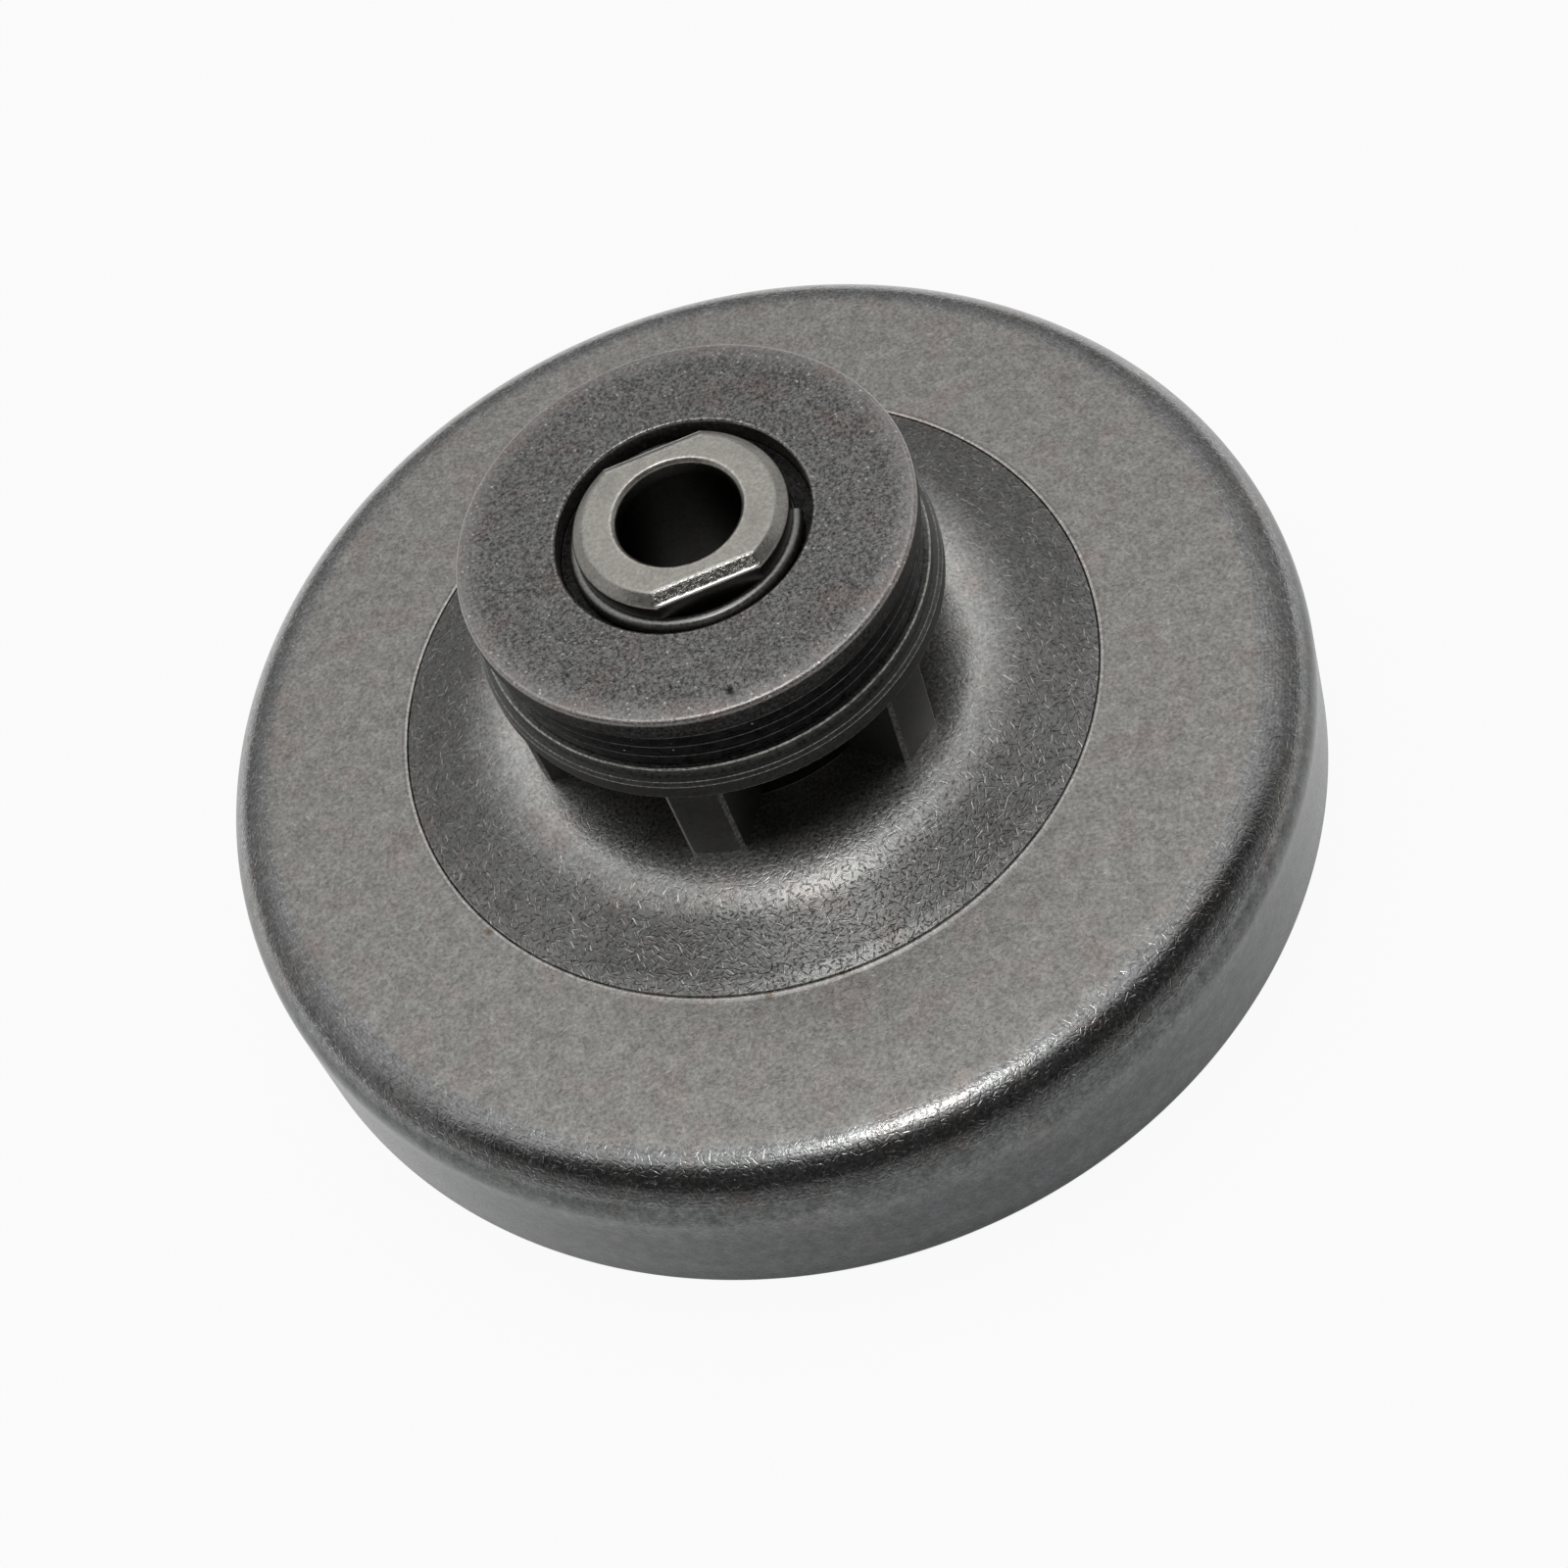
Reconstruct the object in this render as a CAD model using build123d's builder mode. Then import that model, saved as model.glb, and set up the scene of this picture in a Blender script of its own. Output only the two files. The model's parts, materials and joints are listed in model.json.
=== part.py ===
"""Chain saw sprocket with brake drum and slip clutch.

The drum stands on its rim, open side down. The origin is the middle of the rim's plane and +Z runs up the bore.
All sizes are in millimetres.
"""
import os
from math import tan, radians

from build123d import *

# Brake drum: a cup pressed from one sheet
sheet = 2.0
drum_radius = 37.55
drum_height = 11.66
skirt_flare = 0.74
shoulder_radius = 3.9
dome_foot_radius = 23.98
dome_rise = 2.49
dome_slope = 22.6
dome_crest_bend = 10.8
crease_depth = 0.15
crease_width = 0.9
rim_round = 0.4

# Spur sprocket with its flange, sintered in one piece and seated in the drum's middle hole
tooth_count = 6
tooth_turn = 7.4
tooth_tip_radius = 14.95
tooth_tip_width = 3.5
tooth_root_width = 5.6
tooth_root_radius = 9.6
tooth_root_fillet = 1.6
tooth_edge_chamfer = 0.2
tooth_height = 7.32
flange_radius = 15.28
flange_thickness = 1.39
flange_chamfer = 0.22
spigot_radius = 11.0

# Drive hub: a turned sleeve with two flats, a chamfered head, a ring groove and a lower flange
hub_radius = 6.885
hub_flat = 5.98
head_rise = 1.19
head_chamfer = 0.76
head_chamfer_height = 0.62
bore_radius = 4.0
bore_chamfer = 0.25
hub_flange_radius = 13.2
hub_flange_thickness = 2.4
hub_flange_chamfer = 0.5
socket_radius = 5.0
socket_flat = 4.1
socket_depth = 7.0

# Washers and disc springs, the friction washer as wide as the pressure disc above it
stack_radius = 14.69
washer_thickness = 0.89
washer_edge_chamfer = 0.12
inner_washer_radius = 12.6
inner_washer_thickness = 1.0
spring_count = 3
spring_radius = 14.3
spring_inner_radius = 9.75
spring_thickness = 1.0
spring_cone = 0.27
spring_edge_chamfer = 0.16

# Pressure disc: sintered, with a counterbore for the ring and a collar that guides the springs
disc_thickness = 1.84
disc_edge_round = 0.35
counterbore_radius = 8.19
counterbore_depth = 1.52
counterbore_chamfer = 0.12
collar_gap = 1.0

# Snap ring of round wire
wire_radius = 0.5
ring_radius = 6.98
ring_gap_start = -15.0
ring_gap_angle = 60.0

# Clearances
running_clearance = 0.04
keyed_clearance = 0.06
spring_film = 0.02
collar_clearance = 0.2
groove_clearance = 0.03
seat_clearance = 0.02

# Heights above the rim, from the drum upwards
crest_z = drum_height + dome_rise
spigot_z = crest_z - sheet
flange_z = crest_z + tooth_height
flange_top_z = flange_z + flange_thickness
washer_top_z = flange_top_z + washer_thickness
spring_pitch = spring_thickness + spring_film
disc_z = washer_top_z + spring_count * spring_pitch + spring_cone
disc_top_z = disc_z + disc_thickness
collar_z = washer_top_z + collar_gap
ring_seat_z = disc_top_z - counterbore_depth
ring_z = ring_seat_z + seat_clearance + wire_radius
head_top_z = disc_top_z + head_rise
hub_flange_top_z = spigot_z - inner_washer_thickness
hub_z = hub_flange_top_z - hub_flange_thickness

# Radii and half widths that follow from the fits
bush_radius = hub_radius + running_clearance
key_radius = hub_radius + keyed_clearance
key_flat = hub_flat + keyed_clearance
collar_radius = spring_inner_radius - collar_clearance
dome_crest_radius = dome_foot_radius - dome_rise / tan(radians(dome_slope))
skirt_slope = skirt_flare / drum_height
tooth_taper = (tooth_root_width - tooth_tip_width) / (tooth_tip_radius - tooth_root_radius)


def tooth_half_width(radius):
    """Half the width of a tooth between its straight flanks, at a distance from the bore's axis."""
    return (tooth_tip_width + tooth_taper * (tooth_tip_radius - radius)) / 2


os.makedirs("parts", exist_ok=True)

# Brake drum: its outer line is thickened inwards by the sheet, turned about the bore and cut level at the rim
with BuildPart() as brake_drum:
    with BuildSketch(Plane.XZ):
        with BuildLine():
            outer_line = FilletPolyline(
                (drum_radius + skirt_slope * (drum_height + sheet), -sheet),
                (drum_radius, drum_height),
                (dome_foot_radius, drum_height),
                (dome_crest_radius, crest_z),
                (spigot_radius, crest_z),
                radius=(shoulder_radius, 0, dome_crest_bend),
            )
            offset(outer_line, amount=sheet, side=Side.LEFT)
        make_face()
    revolve(axis=Axis.Z)
    split(bisect_by=Plane.XY, keep=Keep.TOP)
    rim_edges = brake_drum.edges().filter_by(GeomType.CIRCLE).group_by(Axis.Z)[0]
    fillet(rim_edges, rim_round)
    # The coined crease round the foot of the raised middle
    crease_top_z = drum_height + crease_width * tan(radians(dome_slope))
    with BuildSketch(Plane.XZ):
        Polygon(
            (dome_foot_radius, drum_height - crease_depth),
            (dome_foot_radius, crease_top_z),
            (dome_foot_radius - crease_width, crease_top_z),
            align=None,
        )
    revolve(axis=Axis.Z, mode=Mode.SUBTRACT)
brake_drum.part.label = "brake_drum"
export_step(brake_drum.part, "parts/brake_drum.step")

# Chain sprocket: teeth on a round core, a flange above them and a spigot in the drum's hole
with BuildPart() as chain_sprocket:
    tooth_reach = tooth_tip_radius + tooth_tip_width
    with BuildSketch(Plane.XY.offset(crest_z)) as tooth_ring:
        Circle(tooth_root_radius)
        with PolarLocations(0, tooth_count, start_angle=tooth_turn):
            Polygon(
                (0, -tooth_half_width(0)),
                (tooth_reach, -tooth_half_width(tooth_reach)),
                (tooth_reach, tooth_half_width(tooth_reach)),
                (0, tooth_half_width(0)),
                align=None,
            )
        Circle(tooth_tip_radius, mode=Mode.INTERSECT)
        fillet(tooth_ring.vertices().group_by(SortBy.DISTANCE)[0], tooth_root_fillet)
        chamfer(tooth_ring.vertices().group_by(SortBy.DISTANCE)[-1], tooth_edge_chamfer)
    extrude(amount=tooth_height)
    with BuildSketch(Plane.XY.offset(flange_z)):
        Circle(flange_radius)
    extrude(amount=flange_thickness)
    chamfer(chain_sprocket.edges().filter_by(GeomType.CIRCLE).group_by(Axis.Z)[-1], flange_chamfer)
    with BuildSketch(Plane.XY.offset(spigot_z)):
        Circle(spigot_radius)
    extrude(amount=sheet)
    with Locations((0, 0, flange_top_z)):
        Hole(bush_radius)
chain_sprocket.part.label = "chain_sprocket"
export_step(chain_sprocket.part, "parts/chain_sprocket.step")

# Drive hub: lower flange, round barrel in the sprocket, keyed upper end with two flats
with BuildPart() as drive_hub:
    with BuildSketch(Plane.XY.offset(hub_z)):
        Circle(hub_flange_radius)
    extrude(amount=hub_flange_thickness)
    chamfer(drive_hub.edges().group_by(Axis.Z)[0], hub_flange_chamfer)
    # The barrel's circle starts at +Y, so that its seam lies under a flat
    with BuildSketch(Plane((0, 0, hub_flange_top_z), x_dir=(0, 1, 0))):
        Circle(hub_radius)
    extrude(amount=flange_top_z - hub_flange_top_z)
    with BuildSketch(Plane.XY.offset(flange_top_z)):
        Circle(hub_radius)
        Rectangle(4 * hub_radius, 2 * hub_flat, mode=Mode.INTERSECT)
    extrude(amount=head_top_z - flange_top_z)
    head_face = drive_hub.faces().sort_by(Axis.Z)[-1]
    chamfer(head_face.edges(), length=head_chamfer, length2=head_chamfer_height, reference=head_face)
    with BuildSketch(Plane.XZ):
        with Locations((ring_radius, ring_z)):
            Circle(wire_radius + groove_clearance)
    revolve(axis=Axis.Z, mode=Mode.SUBTRACT)
    with Locations((0, 0, head_top_z)):
        Hole(bore_radius)
    bore_mouth = drive_hub.faces().sort_by(Axis.Z)[-1].inner_wires()[0]
    chamfer(bore_mouth.edges(), bore_chamfer)
    with BuildSketch(Plane.XY.offset(hub_z)):
        Circle(socket_radius)
        Rectangle(4 * socket_radius, 2 * socket_flat, mode=Mode.INTERSECT)
    extrude(amount=socket_depth, mode=Mode.SUBTRACT)
drive_hub.part.label = "drive_hub"
export_step(drive_hub.part, "parts/drive_hub.step")

# Inner friction washer: between the hub's lower flange and the sprocket's spigot
with BuildPart() as inner_friction_washer:
    with BuildSketch(Plane.XY.offset(hub_flange_top_z)):
        Circle(inner_washer_radius)
        Circle(bush_radius, mode=Mode.SUBTRACT)
    extrude(amount=inner_washer_thickness)
inner_friction_washer.part.label = "inner_friction_washer"
export_step(inner_friction_washer.part, "parts/inner_friction_washer.step")

# Friction washer: lies on the sprocket's flange and turns with the hub's flats
with BuildPart() as friction_washer:
    with BuildSketch(Plane.XY.offset(flange_top_z)):
        Circle(stack_radius)
    extrude(amount=washer_thickness)
    chamfer(friction_washer.edges().filter_by(GeomType.CIRCLE), washer_edge_chamfer)
    with BuildSketch(Plane.XY.offset(flange_top_z)):
        Circle(key_radius)
        Rectangle(4 * key_radius, 2 * key_flat, mode=Mode.INTERSECT)
    extrude(amount=washer_thickness, mode=Mode.SUBTRACT)
friction_washer.part.label = "friction_washer"
export_step(friction_washer.part, "parts/friction_washer.step")

# Disc springs: shallow cones nested one in the other, inner edges up
for number in range(1, spring_count + 1):
    spring_z = washer_top_z + (number - 1) * spring_pitch
    with BuildPart() as disc_spring:
        with BuildSketch(Plane.XZ) as spring_section:
            Polygon(
                (spring_radius, spring_z),
                (spring_radius, spring_z + spring_thickness),
                (spring_inner_radius, spring_z + spring_cone + spring_thickness),
                (spring_inner_radius, spring_z + spring_cone),
                align=None,
            )
            chamfer(spring_section.vertices(), spring_edge_chamfer)
        revolve(axis=Axis.Z)
    disc_spring.part.label = f"disc_spring_{number}"
    export_step(disc_spring.part, f"parts/disc_spring_{number}.step")

# Pressure disc: keyed to the hub's flats, pressed up against the snap ring by the springs
with BuildPart() as pressure_disc:
    with BuildSketch(Plane.XY.offset(disc_z)):
        Circle(stack_radius)
    extrude(amount=disc_thickness)
    fillet(pressure_disc.edges().filter_by(GeomType.CIRCLE), disc_edge_round)
    with BuildSketch(Plane.XY.offset(collar_z)):
        Circle(collar_radius)
    extrude(amount=disc_z - collar_z)
    with BuildSketch(Plane.XY.offset(collar_z)):
        Circle(key_radius)
        Rectangle(4 * key_radius, 2 * key_flat, mode=Mode.INTERSECT)
    extrude(amount=disc_top_z - collar_z, mode=Mode.SUBTRACT)
    with BuildSketch(Plane.XY.offset(ring_seat_z)):
        Circle(counterbore_radius)
    extrude(amount=counterbore_depth, mode=Mode.SUBTRACT)
    counterbore_mouth = pressure_disc.faces().sort_by(Axis.Z)[-1].inner_wires()[0]
    chamfer(counterbore_mouth.edges(), counterbore_chamfer)
pressure_disc.part.label = "pressure_disc"
export_step(pressure_disc.part, "parts/pressure_disc.step")

# Snap ring: round wire bent into an open ring, half sunk in the hub's groove
with BuildPart() as snap_ring:
    with BuildLine(Plane.XY.offset(ring_z)) as ring_path:
        CenterArc(
            (0, 0),
            ring_radius,
            start_angle=ring_gap_start + ring_gap_angle,
            arc_size=360 - ring_gap_angle,
        )
    with BuildSketch(Plane(origin=ring_path.line @ 0, z_dir=ring_path.line % 0)):
        Circle(wire_radius)
    sweep(path=ring_path.line)
snap_ring.part.label = "snap_ring"
export_step(snap_ring.part, "parts/snap_ring.step")
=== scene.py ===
"""Chain saw sprocket with brake drum and slip clutch, dressed around its packed frame.

Each piece is a stack of rings: closed outlines round the bore, joined by quads into a closed skin.
Lengths are metres, +Z runs up the bore, and the drum stands on its rim with its middle at the origin.
"""
import json
from math import ceil, cos, pi, radians, sin, sqrt, tan

import bmesh
import bpy
import numpy as np
from mathutils import Matrix, Vector


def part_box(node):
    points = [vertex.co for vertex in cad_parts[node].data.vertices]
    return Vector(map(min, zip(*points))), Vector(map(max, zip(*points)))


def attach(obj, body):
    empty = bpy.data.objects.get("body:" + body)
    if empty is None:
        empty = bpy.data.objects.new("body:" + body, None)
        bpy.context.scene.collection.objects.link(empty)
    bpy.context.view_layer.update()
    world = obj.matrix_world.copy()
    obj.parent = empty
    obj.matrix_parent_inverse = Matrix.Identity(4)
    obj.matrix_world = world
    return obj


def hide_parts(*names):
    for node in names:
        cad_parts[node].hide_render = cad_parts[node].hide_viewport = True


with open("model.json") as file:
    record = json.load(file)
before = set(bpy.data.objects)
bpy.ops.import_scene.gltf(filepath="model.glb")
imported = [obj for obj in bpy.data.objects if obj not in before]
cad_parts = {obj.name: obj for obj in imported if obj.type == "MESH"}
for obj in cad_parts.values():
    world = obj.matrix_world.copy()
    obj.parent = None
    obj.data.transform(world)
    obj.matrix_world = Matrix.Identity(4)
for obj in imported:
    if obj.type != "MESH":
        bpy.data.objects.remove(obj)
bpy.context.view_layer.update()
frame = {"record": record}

bl_info = {
    "name": "Slip Clutch Sprocket",
    "version": (1, 0, 0),
    "blender": (4, 5, 0),
    "location": "3D View > Sidebar > Sprocket",
    "description": "Dresses a chain saw sprocket with its brake drum and slip clutch, and sets its stage",
    "category": "Object",
}

MM = 0.001
SPRING_NODES = ("disc_spring_1", "disc_spring_2", "disc_spring_3")

# How finely the skins are cut, and what counts as a sharp edge
DRUM_SEGMENTS = 360
DISC_SEGMENTS = 480
SPRING_SEGMENTS = 288
RING_STEPS = 300
WIRE_SEGMENTS = 24
ARC_ERROR = 0.002 * MM
EDGE_RADIUS = 0.15 * MM
EDGE_GUARD = 0.06 * MM
SHARP_ANGLE = radians(28)

# Rust specks on the drum: middle and size in millimetres
RUST_SPECKS = (
    (-6.05, -23.5, 11.7, 0.42), (-1.25, -23.95, 11.7, 0.3),
    (-21.6, -11.2, 11.7, 0.4), (15.8, 2.1, 13.9, 0.35),
)

# Dents in the pressure disc's top: middle, width and depth in millimetres
DENTS = ((-0.89, -13.26, 0.52, 0.09), (-9.70, -7.62, 0.30, 0.06), (-4.2, -11.4, 0.16, 0.05))

# Where the drum's finish changes, how polished its dome is, where painted light lifts the sprocket's shadow
# on the dome, and where painted shade darkens the foot of the skirt
DOME_POLISH = 0.55
DOME_FADE = 0.0275 * MM
CREST_FADE = 2.4 * MM
# Painted light on the dome where the sprocket's shadow falls
PAINTED_LIGHT_RADIUS = 17.2 * MM
PAINTED_LIGHT_FADE = 1.5 * MM
# Painted shade along the foot of the skirt, for the floor's contact shadow that it reflects
PAINTED_RIM_SHADE_BAND = 1.5 * MM
PAINTED_RIM_SHADE_FADE = 1.0 * MM


# Heights and radii of the packed nodes

def top(node):
    """Height of a node's highest point."""
    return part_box(node)[1].z


def bottom(node):
    """Height of a node's lowest point."""
    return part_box(node)[0].z


def reach(node):
    """Radius of a round node."""
    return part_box(node)[1].y


def bore_radius():
    """Radius of the shaft bore that the packed record states."""
    mount = next(m for m in frame["record"]["mounts"] if m["name"] == "shaft_bore")
    return mount["dims"]["r_mm"] * MM


# Sizes and colours that a user would change

def length(name, description, default):
    """A length property; the default is in metres."""
    return bpy.props.FloatProperty(
        name=name, description=description, default=default, unit="LENGTH", subtype="DISTANCE", precision=5)


def angle(name, description, default):
    """An angle property; the default is in degrees."""
    return bpy.props.FloatProperty(
        name=name, description=description, default=radians(default), unit="ROTATION", subtype="ANGLE")


def colour(name, description, default):
    """A colour property in linear red, green and blue."""
    return bpy.props.FloatVectorProperty(
        name=name, description=description, default=default, size=3, min=0, max=1, subtype="COLOR")


def share(name, description, default):
    """A property from nothing to whole."""
    return bpy.props.FloatProperty(
        name=name, description=description, default=default, min=0, max=1, subtype="FACTOR")


class DrumSizes(bpy.types.PropertyGroup):
    """Sizes of the pressed brake drum."""
    sheet: length("Sheet", "Thickness of the sheet", 2.0 * MM)
    radius: length("Radius", "Radius where the skirt's line meets the flat top", 37.55 * MM)
    flat_height: length("Flat height", "Height of the flat top above the rim", 11.66 * MM)
    skirt_flare: length("Skirt flare", "How much wider the skirt is at the rim", 0.74 * MM)
    shoulder: length("Shoulder", "Outer bend between skirt and flat top", 3.9 * MM)
    lead: length("Lead", "Run of slight droop before the shoulder", 0.35 * MM)
    droop: angle("Droop", "Slope that the flat top reaches before the shoulder", 4.0)
    rim_round: length("Rim round", "Rounding of the rim's two edges", 0.4 * MM)
    foot_radius: length("Dome foot", "Radius where the raised middle starts", 23.98 * MM)
    crest_height: length("Crest height", "Height of the raised middle", top("brake_drum"))
    slope: angle("Dome slope", "Slope of the raised middle's flank", 22.6)
    crest_bend: length("Crest bend", "Bend from the flank to the crest", 10.8 * MM)
    crease_depth: length("Crease depth", "Depth of the coined crease", 0.15 * MM)
    crease_width: length("Crease width", "Width of the coined crease", 0.13 * MM)
    foot_run: length("Foot run", "Width of the gentler foot of the flank", 0.98 * MM)
    foot_slope: angle("Foot slope", "Slope of the flank's foot", 19.5)
    lip_width: length("Lip width", "Width of the raised lip outside the crease", 0.36 * MM)
    lip_height: length("Lip height", "Height of the raised lip outside the crease", 0.06 * MM)
    hole_radius: length("Hole", "Radius of the hole that takes the sprocket", 11.0 * MM)


class SprocketSizes(bpy.types.PropertyGroup):
    """Sizes of the toothed sprocket and its flange."""
    tooth_count: bpy.props.IntProperty(name="Teeth", description="Number of teeth", default=6, min=3)
    tooth_turn: angle("Tooth turn", "Turn of the first tooth from +X", 7.4)
    tip_radius: length("Tip radius", "Radius of the tooth tips", 14.95 * MM)
    tip_width: length("Tip width", "Width of a tooth at its tip", 3.5 * MM)
    root_radius: length("Root radius", "Radius between the teeth", 9.6 * MM)
    root_width: length("Root width", "Width of a tooth at the root radius", 5.6 * MM)
    root_fillet: length("Root fillet", "Rounding at the foot of a tooth", 1.6 * MM)
    tip_chamfer: length("Tip chamfer", "Broken edge along the tooth tips", 0.2 * MM)
    flange_radius: length("Flange radius", "Radius of the flange over the teeth", 15.28 * MM)
    flange_thickness: length("Flange thickness", "Thickness of the flange", 1.39 * MM)
    flange_chamfer: length("Flange chamfer", "Chamfer of the flange's upper edge", 0.22 * MM)
    bush_radius: length("Bush", "Radius of the hole for the hub's barrel", 6.925 * MM)


class HubSizes(bpy.types.PropertyGroup):
    """Sizes of the turned drive hub."""
    radius: length("Radius", "Radius of the barrel", 6.885 * MM)
    flat: length("Flat", "Distance of each flat from the axis", 5.98 * MM)
    head_chamfer: length("Head chamfer", "Width of the head's chamfer", 0.76 * MM)
    head_chamfer_height: length("Head chamfer height", "Height of the head's chamfer", 0.62 * MM)
    burr: length("Burr", "Height of the burr along the foot of the flats' chamfer", 0.09 * MM)
    bore: length("Bore", "Radius of the shaft bore", bore_radius())
    bore_chamfer: length("Bore chamfer", "Chamfer of the bore's mouth", 0.25 * MM)
    flange_radius: length("Flange radius", "Radius of the lower flange", reach("drive_hub"))
    flange_thickness: length("Flange thickness", "Thickness of the lower flange", 2.4 * MM)
    flange_chamfer: length("Flange chamfer", "Chamfer of the lower flange", 0.5 * MM)
    socket_radius: length("Socket radius", "Radius of the drive socket", 5.0 * MM)
    socket_flat: length("Socket flat", "Distance of the socket's flats from the axis", 4.1 * MM)
    socket_depth: length("Socket depth", "Depth of the drive socket", 7.0 * MM)
    groove_clearance: length("Groove clearance", "Room round the wire in its groove", 0.03 * MM)


class StackSizes(bpy.types.PropertyGroup):
    """Sizes of the washers, disc springs, pressure disc and snap ring."""
    key_clearance: length("Key clearance", "Room round the hub's keyed end", 0.06 * MM)
    washer_round: length("Washer edge", "Rounding of the washers' edges", 0.09 * MM)
    spring_inner: length("Spring hole", "Radius of the springs' hole", 9.75 * MM)
    spring_thickness: length("Spring thickness", "Thickness of a disc spring", 1.0 * MM)
    spring_cone: length("Spring cone", "Height of a disc spring's cone", 0.27 * MM)
    spring_round: length("Spring edge", "Rounding of the springs' edges", 0.18 * MM)
    disc_thickness: length("Disc thickness", "Thickness of the pressure disc", 1.84 * MM)
    disc_round: length("Disc edge", "Rounding of the pressure disc's rim", 0.35 * MM)
    disc_crown: length("Disc crown", "Width of the slight slope inside the pressure disc's rim", 1.0 * MM)
    crown_slope: angle("Crown slope", "Slope of the pressure disc's crown at the rim", 5.0)
    counterbore: length("Counterbore", "Radius of the counterbore", 8.19 * MM)
    counterbore_depth: length("Counterbore depth", "Depth of the counterbore", 1.52 * MM)
    counterbore_chamfer: length("Counterbore chamfer", "Broken edge of the counterbore", 0.12 * MM)
    collar: length("Collar", "Radius of the collar that guides the springs", 9.55 * MM)
    gap_start: angle("Gap start", "Where the snap ring's gap starts, from +X", -15.0)
    gap: angle("Gap", "Width of the snap ring's gap", 60.0)


class FinishColours(bpy.types.PropertyGroup):
    """Base colours of the metals."""
    flat: colour("Flat top", "Tumbled steel of the drum's flat top", (0.350, 0.340, 0.325))
    dome: colour("Dome", "Burnished steel of the drum's raised middle and shoulder", (0.272, 0.277, 0.272))
    # The skirt's dark colour is partly its own darker steel and partly painted shade for the shaded floor
    # that it reflects
    skirt: colour("Skirt", "Darker steel of the drum's skirt", (0.052, 0.055, 0.056))
    sprocket: colour("Sprocket", "Hardened steel of the sprocket", (0.14, 0.14, 0.136))
    hub: colour("Hub", "Turned steel of the hub", (0.49, 0.47, 0.432))
    washer: colour("Washers", "Ground steel of the washers", (0.26, 0.26, 0.245))
    spring: colour("Springs", "Oiled spring steel", (0.036, 0.037, 0.038))
    disc: colour("Pressure disc", "Sintered steel of the pressure disc", (0.206, 0.204, 0.200))
    ring: colour("Snap ring", "Drawn spring wire", (0.29, 0.29, 0.28))
    film: colour("Film", "Tint of the faint reddish film in patches", (1.0, 0.88, 0.85))
    rust: colour("Rust", "Specks of rust along the crease", (0.17, 0.105, 0.055))


class StudioSettings(bpy.types.PropertyGroup):
    """Camera and light."""
    distance: length("Distance", "From the camera to the middle of the drum's flat top", 161.44 * MM)
    elevation: angle("Elevation", "Height of the view above the horizon", 55.919)
    roll: angle("Roll", "Turn of the camera about its own line of sight", -22.149)
    aside: length("Aside", "Shift of the camera to its right", 2.659 * MM)
    above: length("Above", "Shift of the camera upwards", -7.118 * MM)
    lens: bpy.props.FloatProperty(
        name="Lens", description="Focal length for a 36 mm sensor", default=54.78, subtype="DISTANCE_CAMERA")
    lamp_power: bpy.props.FloatProperty(
        name="Lamp", description="Power of the soft lamp overhead", default=0.2, unit="POWER")
    lamp_size: length("Lamp size", "Width of the lamp's round face", 0.085)
    lamp_height: length("Lamp height", "Height of the lamp above the rim", 0.5)
    lamp_aside: length("Lamp aside", "Shift of the lamp along +Y", -0.042)
    floor_glow: share("Floor glow", "Share of plain white in the floor, to the eye and in reflections", 0.93)
    room_low: share("Room low", "Brightness of the room near the horizon", 0.27)
    room_high: share("Room high", "Brightness of the room overhead", 1.0)
    near_loss: share("Near loss", "Share of that brightness lost high on the camera's side", 0.92)
    near_loss_low: share("Near loss low", "Share lost near the horizon on the camera's side", 0.08)


SETTINGS = {
    "sprocket_drum": DrumSizes,
    "sprocket_teeth": SprocketSizes,
    "sprocket_hub": HubSizes,
    "sprocket_stack": StackSizes,
    "sprocket_colours": FinishColours,
    "sprocket_studio": StudioSettings,
}


# Outlines and rings

def runs_at(points):
    """The runs into and out of each point of a closed line, and the angle that it turns left by there."""
    before = points - np.roll(points, 1, axis=0)
    after = np.roll(points, -1, axis=0) - points
    across = before[:, 0] * after[:, 1] - before[:, 1] * after[:, 0]
    return before, after, np.arctan2(across, np.sum(before * after, axis=1))


def lengths_along(line):
    """How far along a line each of its points lies."""
    return np.concatenate([[0], np.cumsum(np.linalg.norm(np.diff(line, axis=0), axis=1))])


def rounded_line(corners, closed=True):
    """A line through corners of (radius, height, rounding), with an arc of its rounding at each corner.

    An arc of radius a at a corner that turns by t starts a * tan(t / 2) before the corner and ends as far
    after it. Its points stand at even angles round the centre that both runs touch, close enough to keep
    within ARC_ERROR.
    """
    points = np.array([corner[:2] for corner in corners])
    before, _, turns = runs_at(points)
    before /= np.linalg.norm(before, axis=1, keepdims=True)
    pieces = []
    for number, (corner, turn) in enumerate(zip(corners, turns)):
        rounding = corner[2] if len(corner) > 2 else 0.0
        at_end = not closed and number in (0, len(corners) - 1)
        if not rounding or at_end:
            pieces.append(points[number][None])
            continue
        start = points[number] - before[number] * rounding * tan(abs(turn) / 2)
        side = np.sign(turn) * np.array([-before[number, 1], before[number, 0]])
        centre = start + side * rounding
        steps = max(3, ceil(abs(turn) / sqrt(8 * ARC_ERROR / rounding)))
        swing = np.linspace(0, turn, steps + 1)
        arm = start - centre
        pieces.append(centre + np.stack([
            arm[0] * np.cos(swing) - arm[1] * np.sin(swing),
            arm[0] * np.sin(swing) + arm[1] * np.cos(swing)], 1))
    return np.concatenate(pieces)


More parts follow.
